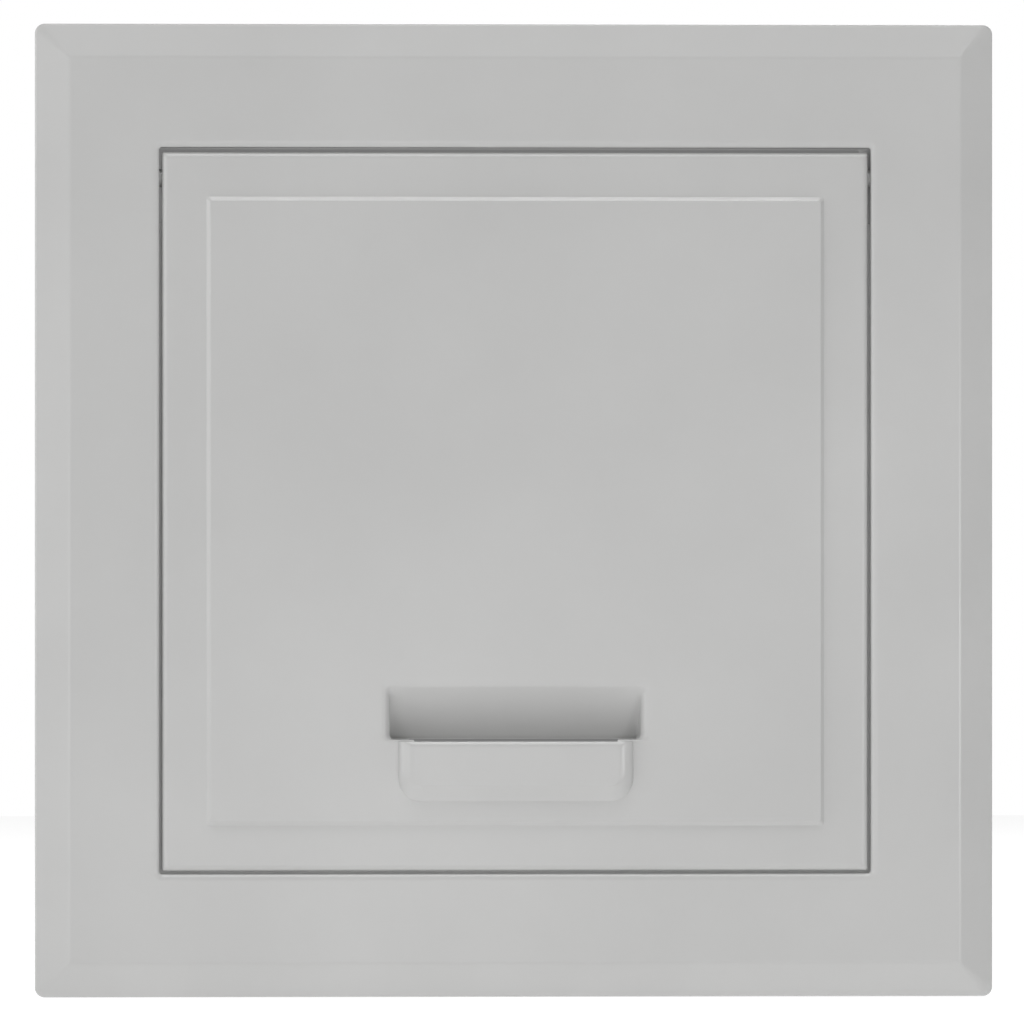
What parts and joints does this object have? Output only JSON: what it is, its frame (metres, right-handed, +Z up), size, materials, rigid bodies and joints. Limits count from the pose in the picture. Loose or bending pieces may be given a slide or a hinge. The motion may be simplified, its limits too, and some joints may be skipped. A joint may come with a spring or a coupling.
{
  "type": "access panel",
  "caption": "Small square moulded access panel: bevelled flange frame with a collar, and a flush door hinged at its top on pins, with a raised field and a hooded finger pull.",
  "frame": {"origin": "middle of the opening, on the mounting plane against which the back of the flange's rim lies", "axes": "+X to the right of someone who faces the panel, +Y into the wall or ceiling, +Z up towards the hinged edge"},
  "size_m": [0.2, 0.0296, 0.2026],
  "materials": {
    "frame_plastic": "light grey-white moulded plastic, half gloss, faint moulding waviness",
    "door_plastic": "light grey-white moulded plastic, half gloss, faint moulding waviness",
    "pin_plastic": "light grey-white plastic, turned smooth"
  },
  "bodies": {
    "frame": {"frame": "frame_plastic", "hinge_pin_left": "pin_plastic", "hinge_pin_right": "pin_plastic"},
    "door": {"door": "door_plastic"}
  },
  "joints": [
    {"name": "door_hinge", "type": "hinge", "parent": "frame", "child": "door", "pos_m": [0, -0.0007, 0.0692], "axis": [-1, 0, 0], "range_deg": [0, 110]}
  ]
}
